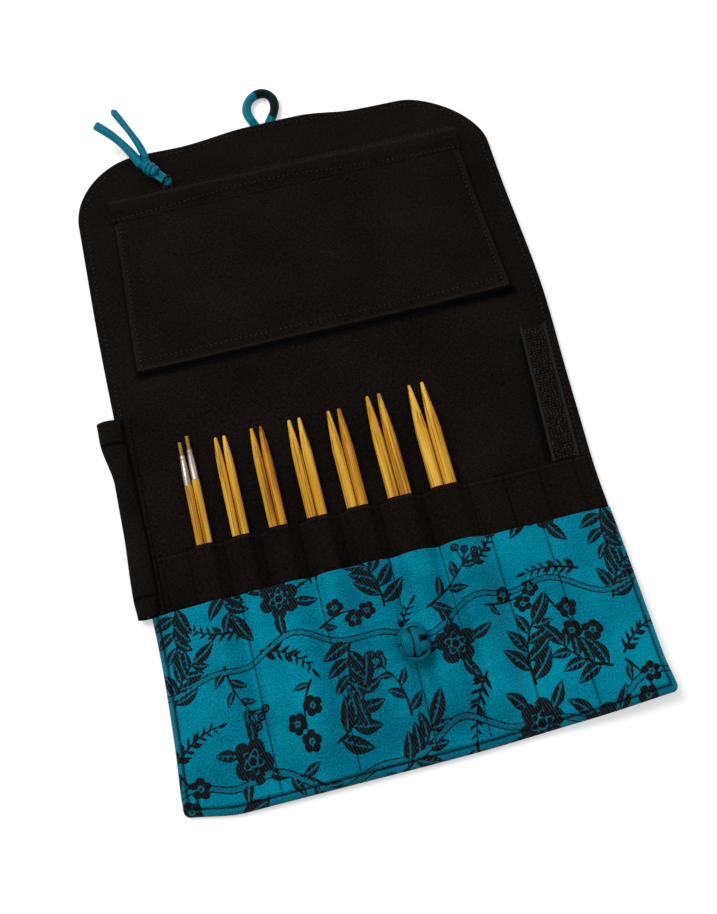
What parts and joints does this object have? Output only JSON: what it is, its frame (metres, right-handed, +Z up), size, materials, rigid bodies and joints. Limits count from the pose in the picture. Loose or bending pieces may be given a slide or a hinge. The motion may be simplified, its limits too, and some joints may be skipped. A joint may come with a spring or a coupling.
{
  "type": "knitting needle case",
  "caption": "Fold-over fabric case for interchangeable knitting needles, with channel pockets, side flap, zip pouch, knot button and loop.",
  "frame": {"origin": "on the table, at the middle of the tucked side flap's underside, on the case's centre line", "axes": "+X across the case to the right, +Y from the pockets towards the flap, +Z up from the table"},
  "size_m": [0.2079, 0.3254, 0.0218],
  "materials": {
    "brocade": "satin-weave brocade, teal with a black woven leaf pattern",
    "black_cotton": "plain-weave cotton, matt black",
    "interlining": "thin non-woven padding",
    "fabric_tube": "turned tube of the teal satin",
    "fastening_tape": "woven nylon with pile, black",
    "zip_tape": "fine twill tape, black",
    "zip_nylon": "moulded coil, black",
    "zip_metal": "black enamel",
    "bamboo": "polished golden bamboo",
    "ferrule_metal": "bright plated ferrule"
  },
  "bodies": {
    "case_body": {"outer_cover_body": "brocade", "interlining_body": "interlining", "lining_body": "black_cotton", "needle_pocket": "black_cotton", "brocade_pocket": "brocade", "ball_knot_button": "fabric_tube", "button_shank": "fabric_tube", "loop_tape": "fastening_tape"},
    "spine": {"outer_cover_spine": "brocade", "lining_spine": "black_cotton"},
    "flap": {"outer_cover_flap": "brocade", "interlining_flap": "interlining", "lining_flap": "black_cotton", "button_loop": "fabric_tube", "zip_lap": "black_cotton", "zip_tape_upper": "zip_tape", "zip_tape_lower": "zip_tape", "zip_teeth": "zip_nylon", "zip_stops": "zip_metal"},
    "pouch": {"pouch_back": "black_cotton", "pouch_front": "black_cotton"},
    "zip_pull": {"zip_slider": "zip_metal", "pull_bail": "zip_metal", "pull_bight": "fabric_tube", "pull_knot": "fabric_tube", "pull_tail_wide": "fabric_tube", "pull_tail_slim": "fabric_tube"},
    "gusset": {"gusset": "black_cotton", "side_flap_roll": "black_cotton"},
    "side_flap": {"side_flap_face": "black_cotton", "side_flap_back": "brocade", "hook_tape": "fastening_tape"},
    "needle_1a": {"needle_shaft_1a": "bamboo", "needle_connector_1a": "ferrule_metal"},
    "needle_1b": {"needle_shaft_1b": "bamboo", "needle_connector_1b": "ferrule_metal"},
    "needle_2a": {"needle_shaft_2a": "bamboo", "needle_connector_2a": "ferrule_metal"},
    "needle_2b": {"needle_shaft_2b": "bamboo", "needle_connector_2b": "ferrule_metal"},
    "needle_3a": {"needle_shaft_3a": "bamboo", "needle_connector_3a": "ferrule_metal"},
    "needle_3b": {"needle_shaft_3b": "bamboo", "needle_connector_3b": "ferrule_metal"},
    "needle_4a": {"needle_shaft_4a": "bamboo", "needle_connector_4a": "ferrule_metal"},
    "needle_4b": {"needle_shaft_4b": "bamboo", "needle_connector_4b": "ferrule_metal"},
    "needle_5a": {"needle_shaft_5a": "bamboo", "needle_connector_5a": "ferrule_metal"},
    "needle_5b": {"needle_shaft_5b": "bamboo", "needle_connector_5b": "ferrule_metal"},
    "needle_6a": {"needle_shaft_6a": "bamboo", "needle_connector_6a": "ferrule_metal"},
    "needle_6b": {"needle_shaft_6b": "bamboo", "needle_connector_6b": "ferrule_metal"},
    "needle_7a": {"needle_shaft_7a": "bamboo", "needle_connector_7a": "ferrule_metal"},
    "needle_7b": {"needle_shaft_7b": "bamboo", "needle_connector_7b": "ferrule_metal"}
  },
  "joints": [
    {"name": "spine_fold", "type": "hinge", "parent": "case_body", "child": "spine", "pos_m": [0, 0.0487, 0.0033], "axis": [1, 0, 0], "range_deg": [0, 88]},
    {"name": "flap_fold", "type": "hinge", "parent": "spine", "child": "flap", "pos_m": [0, 0.0647, 0.0033], "axis": [1, 0, 0], "range_deg": [0, 88]},
    {"name": "pouch_lift", "type": "hinge", "parent": "flap", "child": "pouch", "pos_m": [0, 0.1425, 0.00435], "axis": [1, 0, 0], "range_deg": [-120, 0]},
    {"name": "zip_slide", "type": "slide", "parent": "flap", "child": "zip_pull", "axis": [1, 0, 0], "range_m": [-0.018, 0.129]},
    {"name": "gusset_turn", "type": "hinge", "parent": "case_body", "child": "gusset", "pos_m": [-0.095, 0, 0.0033], "axis": [0, 1, 0], "range_deg": [0, 90]},
    {"name": "side_flap_turn", "type": "hinge", "parent": "gusset", "child": "side_flap", "pos_m": [-0.1056, 0, 0.0023], "axis": [0, 1, 0], "range_deg": [0, 270], "deforming": ["side_flap_roll"]},
    {"name": "needle_draw_1a", "type": "slide", "parent": "case_body", "child": "needle_1a", "axis": [0, -1, -0.0087], "range_m": [-0.085, 0]},
    {"name": "needle_draw_1b", "type": "slide", "parent": "case_body", "child": "needle_1b", "axis": [0, -1, -0.0087], "range_m": [-0.085, 0]},
    {"name": "needle_draw_2a", "type": "slide", "parent": "case_body", "child": "needle_2a", "axis": [0, -1, -0.0087], "range_m": [-0.085, 0]},
    {"name": "needle_draw_2b", "type": "slide", "parent": "case_body", "child": "needle_2b", "axis": [0, -1, -0.0087], "range_m": [-0.085, 0]},
    {"name": "needle_draw_3a", "type": "slide", "parent": "case_body", "child": "needle_3a", "axis": [0, -1, -0.0087], "range_m": [-0.085, 0]},
    {"name": "needle_draw_3b", "type": "slide", "parent": "case_body", "child": "needle_3b", "axis": [0, -1, -0.0087], "range_m": [-0.085, 0]},
    {"name": "needle_draw_4a", "type": "slide", "parent": "case_body", "child": "needle_4a", "axis": [0, -1, -0.0087], "range_m": [-0.085, 0]},
    {"name": "needle_draw_4b", "type": "slide", "parent": "case_body", "child": "needle_4b", "axis": [0, -1, -0.0087], "range_m": [-0.085, 0]},
    {"name": "needle_draw_5a", "type": "slide", "parent": "case_body", "child": "needle_5a", "axis": [0, -1, -0.0087], "range_m": [-0.085, 0]},
    {"name": "needle_draw_5b", "type": "slide", "parent": "case_body", "child": "needle_5b", "axis": [0, -1, -0.0087], "range_m": [-0.085, 0]},
    {"name": "needle_draw_6a", "type": "slide", "parent": "case_body", "child": "needle_6a", "axis": [0, -1, -0.0087], "range_m": [-0.085, 0]},
    {"name": "needle_draw_6b", "type": "slide", "parent": "case_body", "child": "needle_6b", "axis": [0, -1, -0.0087], "range_m": [-0.085, 0]},
    {"name": "needle_draw_7a", "type": "slide", "parent": "case_body", "child": "needle_7a", "axis": [0, -1, -0.0087], "range_m": [-0.085, 0]},
    {"name": "needle_draw_7b", "type": "slide", "parent": "case_body", "child": "needle_7b", "axis": [0, -1, -0.0087], "range_m": [-0.085, 0]}
  ],
  "couplings": [
    {"joint": "flap_fold", "follows": "spine_fold", "ratio": 1},
    {"joint": "side_flap_turn", "follows": "gusset_turn", "ratio": 3}
  ]
}
